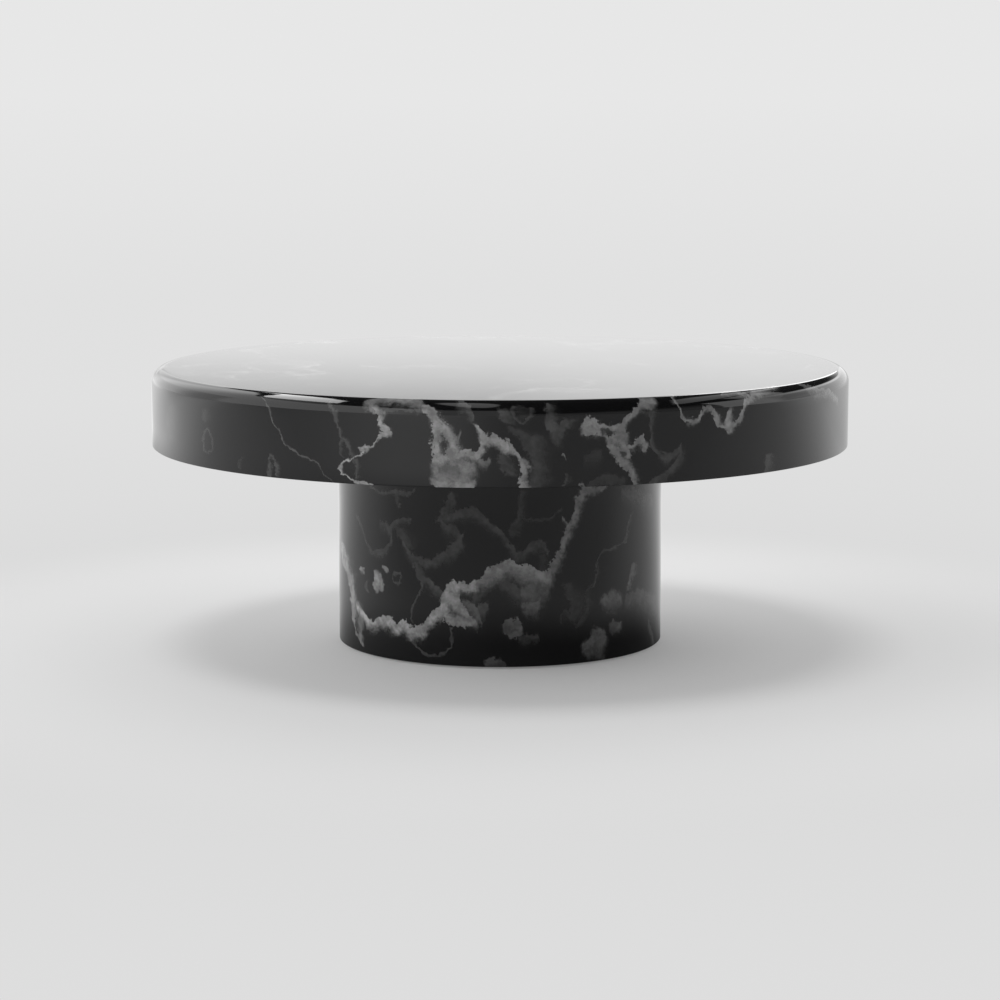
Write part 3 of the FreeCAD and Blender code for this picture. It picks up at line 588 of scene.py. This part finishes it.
def lay_on_stone(x, y, half_width, radius, shoulder):
    """Follows a sight line to a round stone: how far around and up it meets it, and half a vein's width
    there, measured up the stone and around it."""
    aside = (x - PICTURE_MIDDLE) / PIXELS_PER_SLOPE
    above_middle = (PICTURE_MIDDLE - y) / PIXELS_PER_SLOPE
    line = Vector((aside, 1.0, above_middle))
    line.rotate(Matrix.Rotation(-CAMERA_TILT, 3, "X"))
    line.normalize()
    point = CAMERA_PLACE.copy()
    edge_reach = radius - EDGE_RADIUS
    for _ in range(SIGHT_STEPS):
        reach = math.hypot(point.x, point.y)
        beyond = max(reach - edge_reach, 0.0)
        above = max(point.z - shoulder, 0.0)
        point += line * (math.hypot(beyond, above) - EDGE_RADIUS)
    turn = math.atan2(point.x, -point.y)
    tilt = math.atan2(above, beyond)
    inwards = max(edge_reach - reach, 0.0)
    sideways = Vector((math.cos(turn), math.sin(turn), 0.0))
    facing = Vector((math.sin(turn) * math.cos(tilt), -math.cos(turn) * math.cos(tilt), math.sin(tilt)))
    upwards = facing.cross(sideways)
    width = max(half_width / PIXELS_PER_SLOPE * (point - CAMERA_PLACE).length, THINNEST_VEIN)
    up_width, around_width = [width / max(math.sqrt(1.0 - way.dot(line) ** 2), MOST_FORESHORTENED)
                              for way in (upwards, sideways)]
    up = min(point.z, shoulder) + tilt * EDGE_RADIUS + inwards
    return turn * radius, up, up_width, around_width


def split_into_runs(points):
    """Cuts a course into runs that each go one way, around the stone (0) or up it (1)."""
    runs = []
    first = 0
    while first < len(points) - 1:
        ends = []
        for axis in (0, 1):
            last, rising = first, None
            while last < len(points) - 1:
                step = points[last + 1][axis] - points[last][axis]
                aside = points[last + 1][1 - axis] - points[last][1 - axis]
                if abs(aside) > STEEPEST * abs(step) or rising not in (None, step > 0):
                    break
                rising = step > 0
                last += 1
            ends.append(last)
        axis = 0 if ends[0] >= ends[1] else 1
        last = max(ends[axis], first + 1)
        if ends[axis] == first:
            axis = int(abs(points[last][1] - points[first][1]) > abs(points[last][0] - points[first][0]))
        run = sorted((point[axis], point[1 - axis], point[2 + axis]) for point in points[first:last + 1])
        runs.append((axis, run))
        first = last
    return runs


def carry_on(end, inner):
    """A point past the end of a run by half its width, so that runs meet."""
    step = math.hypot(end[0] - inner[0], end[1] - inner[1])
    share = max(end[2], TINY) / step
    return (end[0] + (end[0] - inner[0]) * share, end[1] + (end[1] - inner[1]) * share, END_WIDTH * end[2])


def lay_run(ways, edges, axis, run, paleness, softness, smoke):
    """One run of a vein, as a curve of its centre, width and paleness over the way it goes."""
    points = [carry_on(run[0], run[1]), *run, carry_on(run[-1], run[-2])]
    start, end = points[0][0], points[-1][0]
    low = min(centre for _, centre, _ in points)
    span = max(max(centre for _, centre, _ in points) - low, TINY)
    widest = max(width for _, _, width in points)
    shares = [(at - start) / (end - start) for at, _, _ in points]
    centre_stops = [(share, (point[1] - low) / span) for share, point in zip(shares, points)]
    width_stops = [(share, point[2] / widest) for share, point in zip(shares, points)]
    paleness_stops = [(0.0, 0.0), (1.0, 0.0), (shares[1], paleness), (shares[-2], paleness)]

    course = add_on("ShaderNodeRGBCurve", {"Color": slope(ways[axis], start, end)})
    centre_curve, width_curve, paleness_curve = list(course.mapping.curves)[:3]
    set_course(centre_curve, centre_stops, "AUTO_CLAMPED")
    set_course(width_curve, width_stops, "AUTO_CLAMPED")
    set_course(paleness_curve, paleness_stops, "VECTOR")
    course.mapping.update()
    crisp_side = 1.0 if (axis == 0) == (smoke >= 0) else -1.0
    return place(PLACED_VEIN, Course=course.outputs[0], Across=ways[1 - axis], Start=low, Span=span,
                 Widest=widest, Softness=softness / MM_PER_METRE, Smoke=abs(smoke) / MM_PER_METRE,
                 Crisp_Side=crisp_side, **edges)[0]


def lay_veins(ways, edges, veins, radius, shoulder, lowest, highest):
    """Lays the listed veins, of which the palest shows, and cuts the dark gaps out of those before them.
    Runs that don't come between lowest and highest are left out."""
    laid = 0.0
    for paleness, softness, smoke, points in veins:
        course = [lay_on_stone(*point, radius, shoulder) for point in points]
        soft_reach = (2 * softness + abs(smoke)) / MM_PER_METRE
        for axis, run in split_into_runs(course):
            heights = [point[1 - axis] for point in run]
            spread = FURTHEST_SMOKE * max(point[2] for point in run) + soft_reach
            if max(heights) + spread < lowest or min(heights) - spread > highest:
                continue
            vein = lay_run(ways, edges, axis, run, abs(paleness), softness, smoke)
            if paleness > 0:
                laid = largest(laid, vein)
            else:
                laid = product(laid, sum_up("SUBTRACT", 1.0, vein))
    return laid


def make_marble(name, radius, shoulder, veins, lowest, highest):
    """Polished black marble: the listed veins at the front, wandering ones round the sides and on top."""
    material, shader, position = new_material(name)
    bent = wander(position, 52.0, reach=0.019, detail=8.0, roughness=0.64)
    ways = place(UNROLLING, Position=bent, Radius=radius, Shoulder=shoulder, Rounding=EDGE_RADIUS)
    around, up = ways
    swell = slope(noise(position, 85.0, detail=6.0, roughness=0.62), 0.28, 0.72, 0.60, 1.45)
    fray = slope(noise(position, 190.0, detail=5.0, roughness=0.65), 0.30, 0.70, -1.05, 1.05)
    edges = {"Swell": swell, "Fray": fray}
    front = lay_veins(ways, edges, veins, radius, shoulder, lowest, highest)

    to_side = ease(sum_up("ABSOLUTE", around), SIDES_FROM * radius, SIDES_TO * radius)
    elsewhere = largest(to_side, ease(up, TOP_FROM, TOP_TO))
    wandering = place(WANDERING_VEINS, Position=position)[0]
    all_veins = largest(front, product(wandering, elsewhere))
    colour, roughness, relief = place(STONE_COLOUR, Position=position, Veins=all_veins)
    hand_on(shader, Base_Color=colour, Roughness=roughness,
            Normal=bump(relief, strength=0.02, distance=0.0003))
    shader["IOR"].default_value = STONE_IOR
    return material


def make_plywood(name, ply_share):
    """Raw birch plywood; ply_share is how much its upright faces show the edges of the plies."""
    material, shader, position = new_material(name)
    colour, grain = place(BIRCH_GRAIN, Position=position)
    height = product(axes(position)[2], MM_PER_METRE)
    end_grain = ease(sum_up("PINGPONG", height, PLY), 0.62, 0.88, 0.0, ply_share)
    facing = axes(add(material.node_tree, "ShaderNodeNewGeometry").outputs["Normal"])[2]
    upright = fade(sum_up("ABSOLUTE", facing), 0.3, 0.6)
    edge = product(end_grain, upright)
    hand_on(shader, Base_Color=mix(edge, colour, PLY_EDGE, "RGBA"),
            Roughness=ease(grain, 0.3, 0.7, 0.72, 0.56),
            Normal=bump(grain, strength=0.25, distance=0.0005))
    return material


def make_black_paint():
    """Matt black rolled on, with its stipple, and thin enough to show a little of the grain."""
    material, shader, position = new_material("matt_black_paint")
    grain = place(BIRCH_GRAIN, Position=position)[1]
    stipple = noise(position, 900.0, detail=3.0)
    patches = noise(position, 7.0, detail=4.0)
    relief = sum_up("ADD", stipple, product(grain, 0.6))
    hand_on(shader, Base_Color=grey_ramp(patches, [(0.3, 0.010), (0.7, 0.019)]),
            Roughness=ease(patches, 0.3, 0.7, 0.50, 0.68),
            Normal=bump(relief, strength=0.35, distance=0.0004))
    return material


def make_zinc(name, thread_pitch):
    """Bright zinc plate with its faint cloudy lustre, and a thread where it has a pitch."""
    material, shader, position = new_material(name)
    lustre = noise(position, 160.0, detail=4.0, roughness=0.6)
    if thread_pitch:
        turns = sum_up("DIVIDE", axes(position)[2], thread_pitch)
        normal = bump(sum_up("PINGPONG", turns, 0.5), strength=0.6, distance=0.0012)
    else:
        normal = bump(lustre, strength=0.15, distance=0.0002)
    colour = colour_ramp(lustre, [(0.3, (0.50, 0.51, 0.53)), (0.7, (0.66, 0.67, 0.68))])
    hand_on(shader, Base_Color=colour, Roughness=ease(lustre, 0.3, 0.7, 0.24, 0.40), Normal=normal)
    shader["Metallic"].default_value = 1.0
    return material


def make_nylon():
    """Moulded black nylon with a fine spark-eroded skin."""
    material, shader, position = new_material("moulded_black_nylon")
    skin = noise(position, 1400.0, detail=3.0, roughness=0.6)
    wear = noise(position, 90.0, detail=4.0)
    hand_on(shader, Base_Color=grey_ramp(wear, [(0.35, 0.011), (0.75, 0.022)]),
            Roughness=ease(wear, 0.3, 0.7, 0.42, 0.58),
            Normal=bump(skin, strength=0.3, distance=0.0002))
    return material


def make_beech():
    """Raw beech with short dark flecks along the dowel."""
    material, shader, position = new_material("raw_beech")
    flecks = noise(stretched(position, (1500.0, 1500.0, 180.0)), 1.0, detail=2.0)
    tone = noise(stretched(position, (120.0, 120.0, 12.0)), 1.0, detail=3.0)
    pale = colour_ramp(tone, [(0.3, (0.52, 0.33, 0.18)), (0.7, (0.66, 0.46, 0.29))])
    fleck_share = ease(flecks, 0.60, 0.70, 0.0, 0.6)
    hand_on(shader, Base_Color=mix(fleck_share, pale, BEECH_FLECK, "RGBA"),
            Roughness=ease(tone, 0.3, 0.7, 0.5, 0.65),
            Normal=bump(flecks, strength=0.2, distance=0.0003))
    return material


def deselect():
    bpy.ops.object.select_all(action="DESELECT")


def select_edges(mesh_object, chosen):
    """Selects, in edit mode, the edges whose ends both pass a test."""
    bpy.ops.mesh.select_all(action="DESELECT")
    bpy.ops.object.mode_set(mode="OBJECT")
    mesh = mesh_object.data
    for edge in mesh.edges:
        edge.select = all(chosen(mesh.vertices[end].co) for end in edge.vertices)
    bpy.ops.object.mode_set(mode="EDIT")


def model_slab():
    """A disc with its upper edge rounded over."""
    deselect()
    depth = slab_high.z - slab_low.z
    bpy.ops.mesh.primitive_cylinder_add(vertices=SLAB_SIDES, radius=TOP_RADIUS, depth=depth,
                                        location=(0, 0, slab_low.z + depth / 2))
    slab = bpy.context.active_object
    slab.name = slab.data.name = "polished_slab"
    bpy.ops.object.transform_apply(location=True, rotation=True, scale=True)
    bpy.ops.object.mode_set(mode="EDIT")
    bpy.ops.mesh.select_mode(type="EDGE")
    select_edges(slab, lambda corner: corner.z > slab_high.z - SAME_HEIGHT)
    bpy.ops.mesh.bevel(offset=EDGE_RADIUS, segments=EDGE_STEPS, profile=0.5, affect="EDGES")
    bpy.ops.mesh.select_mode(type="FACE")
    bpy.ops.mesh.select_all(action="DESELECT")
    bpy.ops.object.mode_set(mode="OBJECT")
    for face in slab.data.polygons:
        face.select = face.normal.z > FACING_UP and face.area > LARGE_FACE
    bpy.ops.object.mode_set(mode="EDIT")
    bpy.ops.mesh.inset(thickness=FACE_INSET)
    bpy.ops.object.mode_set(mode="OBJECT")
    bpy.ops.object.shade_smooth_by_angle(angle=SLAB_SMOOTH_TO)
    return slab


def model_curved_stone(name, outer, low, high):
    """One stone of a round wall, its lower edges eased, swept from a flat section."""
    deselect()
    bpy.ops.mesh.primitive_plane_add(size=1, location=(outer - WALL / 2, 0, (low + high) / 2),
                                     rotation=(math.radians(90), 0, 0))
    stone = bpy.context.active_object
    stone.name = stone.data.name = name
    stone.scale = (WALL, high - low, 1)
    bpy.ops.object.transform_apply(location=True, rotation=True, scale=True)
    bpy.ops.object.mode_set(mode="EDIT")
    bpy.ops.mesh.select_mode(type="VERT")
    select_edges(stone, lambda corner: corner.z < low + SAME_HEIGHT)
    bpy.ops.mesh.bevel(offset=ARRIS, segments=ARRIS_STEPS, affect="VERTICES")
    bpy.ops.mesh.select_all(action="SELECT")
    bpy.ops.mesh.spin(steps=STONE_STEPS, angle=STONE_ANGLE, center=(0, 0, 0), axis=(0, 0, 1))
    bpy.ops.mesh.select_all(action="SELECT")
    bpy.ops.mesh.remove_doubles(threshold=SAME_POINT)
    bpy.ops.mesh.normals_make_consistent(inside=False)
    bpy.ops.object.mode_set(mode="OBJECT")
    bpy.ops.object.shade_smooth_by_angle(angle=STONE_SMOOTH_TO)
    return stone


def dress(piece, node, material):
    """Puts a modelled stone in the place of its plain one."""
    piece.data.materials.clear()
    piece.data.materials.append(material)
    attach(piece, "table")
    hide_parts(node)


def ring_of_stones(first, node, material):
    """Copies one stone around the table, each copy with its own mesh."""
    name = first.name
    pieces = [first]
    for number in range(1, STONES):
        copied = first.copy()
        copied.data = first.data.copy()
        copied.data.transform(Matrix.Rotation(number * STONE_ANGLE, 4, "Z"))
        bpy.context.scene.collection.objects.link(copied)
        pieces.append(copied)
    for number, piece in enumerate(pieces, start=1):
        piece.name = piece.data.name = f"{name}_{number}"
        dress(piece, f"{node}_{number}", material)


slab_marble = make_marble("black_marble_slab", TOP_RADIUS, SHOULDER, TOP_VEINS, slab_low.z, TOP_TO)
apron_marble = make_marble("black_marble_apron", TOP_RADIUS, SHOULDER, TOP_VEINS,
                           apron_low.z, apron_high.z)
drum_marble = make_marble("black_marble_drum", DRUM_RADIUS, NO_SHOULDER, DRUM_VEINS,
                          stave_low.z, stave_high.z)
dress(model_slab(), "top_slab", slab_marble)
ring_of_stones(model_curved_stone("polished_apron", TOP_RADIUS, apron_low.z, apron_high.z),
               "apron_segment", apron_marble)
ring_of_stones(model_curved_stone("polished_stave", DRUM_RADIUS, stave_low.z, stave_high.z),
               "drum_stave", drum_marble)

# The frame and fixings keep their shapes and get their finishes, by the start of their names.

FINISHES = [
    (make_plywood("flat_birch_plywood", 0.75),
     ["top_substrate", "core_hub", "core_hoop", "drum_plate", "drum_former"]),
    (make_plywood("upright_birch_plywood", 0.0), ["core_rib", "drum_fin"]),
    (make_black_paint(), ["underside_panel", "base_ring"]),
    (make_zinc("bright_zinc_plate", NO_THREAD), ["hub_inserts", "bolt_washers", "leveller_inserts"]),
    (make_zinc("threaded_zinc_plate", THREAD_PITCH), ["top_bolts", "leveller_stud"]),
    (make_nylon(), ["leveller_pad"]),
    (make_beech(), ["locating_dowels"]),
]
for finish, starts in FINISHES:
    for name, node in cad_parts.items():
        if name.startswith(tuple(starts)):
            node.data.materials.clear()
            node.data.materials.append(finish)

# The studio: an endless pale floor with painted shade near the table, soft light from above, behind and
# the left, and what the polish mirrors, with painted shade and light on the floor in it.

deselect()
bpy.ops.mesh.primitive_circle_add(vertices=FLOOR_SIDES, radius=FLOOR_RADIUS, fill_type="NGON",
                                  location=(0, 0, -FLOOR_DROP))
floor = bpy.context.active_object
floor.name = "studio_floor"
bpy.ops.object.transform_apply(location=True, rotation=True, scale=True)


def make_painted_reflection_strength(position, away, right, behind):
    """How bright the polish mirrors each place on the floor, painted: painted shade by the drum and under
    the top, dimmer in front and straight behind, and a painted pool of light further out to the left."""
    slant = sum_up("MULTIPLY_ADD", right, -0.11, 1.30)
    lean = sum_up("MINIMUM", largest(slant, 1.22), 1.62)
    oval = length(stretched(position, (1.25, 1.0, 1.0)))
    # Painted shade of the table on the floor as the polish mirrors it, deepest by the drum, in front and to
    # the right.
    painted_shade_under_top = ease(behind, -0.1, 0.3, ease(right, -0.55, 0.3, 0.45, 0.10), 0.85)
    painted_drum_shade = ease(oval, 0.38, 0.84, painted_shade_under_top, 1.0)
    near = ease(behind, -0.6, 0.1, ease(away, 1.0, 3.0, 0.66, 1.0), 1.0)
    behind_left = ease(behind, 0.6, 2.8, 1.0, ease(right, -1.6, -0.4, 0.60, 1.0))
    # A painted pool of light on the floor, further out to the left.
    leftwards = sum_up("DIVIDE", right, sum_up("ADD", away, TINY))
    pool = product(ease(leftwards, -1.05, -0.45), fade(leftwards, -0.35, 0.1))
    painted_light_pool = ease(away, 2.3, 2.9, 1.0, sum_up("ADD", pool, 1.0))
    to_camera = largest(sum_up("ADD", behind, -CAMERA_PLACE.y), 0.1)
    aside = sum_up("DIVIDE", sum_up("ABSOLUTE", right), to_camera)
    far_behind = ease(behind, 1.2, 2.2, 1.0, ease(aside, 0.13, 0.46, 0.52, 1.0))
    far_right = ease(right, 1.5, 4.0, 1.0, 1.08)
    return product(lean, painted_drum_shade, near, painted_light_pool, behind_left, far_behind, far_right)


def make_floor_material():
    """Pale and matt, lighter into the distance with painted shade near the table, clear from below, and
    with a painted reflection of its own in the polish.
    """
    material, shader, position = new_material("pale_floor")
    tree = material.node_tree
    shader["Base Color"].default_value = FLOOR_COLOUR
    shader["Roughness"].default_value = 1.0
    shader["Specular IOR Level"].default_value = 0.0
    light_path = add(tree, "ShaderNodeLightPath").outputs
    mirrored = light_path["Is Glossy Ray"]
    away = length(position)
    right, behind, _ = axes(position)

    # The glow that is seen is darker near the table, a painted shade around it, and lighter into the
    # distance.
    distance = sum_up("DIVIDE", away, sum_up("ADD", away, 10.0))
    shown_tone_with_painted_shade = grey_ramp(distance, [(0.06, 0.690), (0.10, 0.712), (0.14, 0.726), (0.20, 0.738),
                                      (0.25, 0.748), (0.42, 0.752), (0.64, 0.776), (0.98, 0.80)])
    # What the polish mirrors of the floor is painted: darker in front of the table and lighter behind it.
    depth = sum_up("MULTIPLY_ADD", behind, 0.1, 0.5)
    painted_reflection_tone = grey_ramp(depth, [(0.20, 0.32), (0.34, 0.33), (0.40, 0.40), (0.50, 0.50),
                                      (0.54, 0.56), (0.63, 0.82), (0.69, 0.96), (0.76, 0.98)])
    glow_share = mix(mirrored, ease(away, 0.6, 1.15, 0.22, 1.0), 0.92)
    tone = mix(mirrored, shown_tone_with_painted_shade, painted_reflection_tone, "RGBA")
    strength = mix(mirrored, 1.0, make_painted_reflection_strength(position, away, right, behind))
    glow = add_on("ShaderNodeEmission", {"Color": tone, "Strength": strength})
    seen = largest(light_path["Is Camera Ray"], mirrored)
    matt = tree.nodes["Principled BSDF"].outputs[0]
    even = add_on("ShaderNodeMixShader", {0: product(glow_share, seen), 1: matt, 2: glow.outputs[0]})
    below = add(tree, "ShaderNodeNewGeometry").outputs["Backfacing"]
    clear = add(tree, "ShaderNodeBsdfTransparent")
    both = add_on("ShaderNodeMixShader", {0: below, 1: even.outputs[0], 2: clear.outputs[0]})
    tree.links.new(both.outputs[0], tree.nodes["Material Output"].inputs[0])
    return material


floor.data.materials.append(make_floor_material())


def edge_line(back, stops):
    """How far out an edge on the ceiling lies, by how far back, from (back, out) stops in rising order.
    A ramp holds values up to one, so both are shrunk to fit it."""
    share = sum_up("MULTIPLY_ADD", back, BACK_SHRINK, BACK_SHRINK)
    shrunk = [(BACK_SHRINK * at + BACK_SHRINK, out / OUT_STRETCH) for at, out in stops]
    return product(grey_ramp(share, shrunk), OUT_STRETCH)


def make_mirrored_room(x, y, z):
    """What the polish mirrors: a dim ceiling between two lit walls, a white light, screens and a horizon.
    Walls are measured by how far along and up they are, the ceiling by how far out and back."""
    aside = largest(sum_up("ABSOLUTE", x), TINY)
    height = largest(z, TINY)
    left = sum_up("LESS_THAN", x, 0.0)
    right = sum_up("SUBTRACT", 1.0, left)
    along = sum_up("DIVIDE", y, aside)
    up = sum_up("DIVIDE", z, aside)
    out = sum_up("DIVIDE", aside, height)
    back = sum_up("DIVIDE", y, height)

    ceiling = edge_line(back, [(-1.0, 1.6), (-0.34, 0.94), (0.0, 0.65), (0.28, 0.48), (0.7, 0.41),
                               (1.1, 0.40), (2.0, 0.46), (3.0, 0.50)])
    left_gap = edge_line(back, [(-1.0, 0.45), (-0.55, 0.68), (-0.3, 0.93), (0.2, 0.95), (0.45, 0.85),
                                (0.79, 0.55), (1.12, 0.43), (1.4, 0.39), (3.0, 0.42)])
    right_gap = edge_line(back, [(-1.0, 1.3), (0.0, 0.90), (0.3, 0.82), (0.6, 0.71), (0.9, 0.63),
                                 (1.2, 0.60), (2.0, 0.55), (3.0, 0.50)])
    ceiling_end = sum_up("MULTIPLY_ADD", left, -0.06, ceiling)
    past_ceiling = sum_up("SUBTRACT", out, ceiling_end)
    past_left_gap = sum_up("SUBTRACT", out, left_gap)
    past_right_gap = sum_up("SUBTRACT", out, right_gap)

    white_end = sum_up("MULTIPLY_ADD", back, -0.32, out)
    white_light = product(WHITE_LIGHT, left, ease(past_ceiling, -0.01, 0.01),
                          fade(past_left_gap, -0.01, 0.01), fade(white_end, 0.70, 0.72))
    left_haze = product(LEFT_HAZE, left, ease(past_ceiling, 0.0, 0.05), between(back, -1.1, 0.4, 0.2))
    left_foot = sum_up("ADD", ease(along, 0.15, 0.30, 1.5, 1.0), ease(along, 0.45, 1.0, 0.0, 0.75))
    left_low = product(left_foot, ease(along, 1.8, 4.0, 1.0, 0.55))
    left_high = product(ease(along, 0.5, 1.3, 1.5, 2.1), ease(along, 1.8, 3.6, 1.0, 0.56))
    wall_end = ease(z, 0.106, 0.128, 6.0, 40.0)
    left_wall = product(left, ease(past_left_gap, 0.07, 0.11), ease(along, -3.4, -1.3),
                        sum_up("LESS_THAN", along, wall_end),
                        ease(up, 0.49, 0.56, left_low, left_high))

    grey_screen = product(GREY_SCREEN, right, ease(past_ceiling, 0.0, 0.03),
                          between(back, -0.3, 2.2, 0.3), fade(past_right_gap, -0.01, 0.01))
    right_shelf = product(RIGHT_SHELF, right, ease(past_right_gap, 0.03, 0.06),
                          between(back, 0.25, 0.88, 0.08))
    right_low = sum_up("ADD", ease(along, 0.15, 0.30, 1.5, 0.85), ease(along, 0.45, 1.0, 0.0, 0.5))
    right_high = product(ease(along, 0.4, 1.2, 1.5, 2.1), ease(along, 1.8, 3.6, 1.0, 0.7))
    right_wall = product(right, ease(out, 1.35, 1.50), between(along, -0.26, 6.0, 0.03),
                         ease(up, 0.49, 0.56, right_low, right_high))
    rim_light = product(RIM_LIGHT, right, between(along, 6.0, 14.0, 0.4),
                        ease(back, 3.2, 3.6), ease(z, 0.112, 0.122))
    front_screen = product(FRONT_SCREEN, between(x, -0.62, 0.08, 0.12),
                           fade(y, -0.5, -0.3), fade(z, 0.58, 0.68))
    oval_out = sum_up("POWER", sum_up("MULTIPLY_ADD", out, 11.0, -0.94), 2.0)
    oval_back = sum_up("POWER", sum_up("MULTIPLY_ADD", back, 2.0, 0.06), 2.0)
    overhead = product(OVERHEAD, left, fade(sum_up("ADD", oval_out, oval_back), 0.6, 1.1))

    to_right = largest(x, 0.0)
    to_left = largest(product(x, -1.0), 0.0)
    haze_top = sum_up("MULTIPLY_ADD", to_right, 0.55, sum_up("MULTIPLY_ADD", to_left, -0.1, 0.1458))
    horizon = product(ease(y, -0.5, 0.85, 0.36, 1.22), fade(z, 0.0858, haze_top),
                      ease(z, 0.0, 0.085, 0.62, 1.0))
    return largest(horizon, CEILING, white_light, left_haze, left_wall, grey_screen, right_shelf,
                   right_wall, rim_light, front_screen, overhead)


def make_world():
    """Soft light from the left, behind and the right, a pale background, and a room for the polish."""
    world = bpy.data.worlds.new("studio")
    world.use_nodes = True
    tree = world.node_tree
    x, y, z = axes(add(tree, "ShaderNodeTexCoord").outputs["Generated"])
    leftwards = largest(product(x, -1.0), 0.0)
    to_left = sum_up("POWER", leftwards, LIGHT_FOCUS)
    to_back = sum_up("POWER", largest(y, 0.0), LIGHT_FOCUS)
    from_right = product(largest(x, 0.0), RIGHT_LIGHT)
    from_behind = sum_up("MULTIPLY_ADD", to_back, BACK_LIGHT, from_right)
    soft = sum_up("MULTIPLY_ADD", to_left, LEFT_LIGHT, from_behind)

    light_path = add(tree, "ShaderNodeLightPath").outputs
    lit = mix(light_path["Is Glossy Ray"], soft, make_mirrored_room(x, y, z))
    background = tree.nodes["Background"].inputs
    background["Color"].default_value = WHITE
    hand_on(background, Strength=mix(light_path["Is Camera Ray"], lit, BACKGROUND))
    bpy.context.scene.world = world


make_world()
light = bpy.data.lights.new("overhead_light", "SUN")
light.angle = SUN_SPREAD
light.energy = SUN_STRENGTH
lamp = bpy.data.objects.new("overhead_light", light)
lamp.rotation_euler = SUN_FROM.to_track_quat("Z", "Y").to_euler()
lamp.visible_glossy = False
bpy.context.scene.collection.objects.link(lamp)

camera_data = bpy.data.cameras.new("camera")
camera_data.sensor_width = SENSOR
camera_data.lens = LENS
camera_data.clip_end = SEES_TO
camera = bpy.data.objects.new("camera", camera_data)
camera.location = CAMERA_PLACE
camera.rotation_euler = (math.radians(90) - CAMERA_TILT, 0.0, 0.0)
bpy.context.scene.collection.objects.link(camera)
bpy.context.scene.camera = camera
bpy.context.scene.view_settings.view_transform = "Standard"
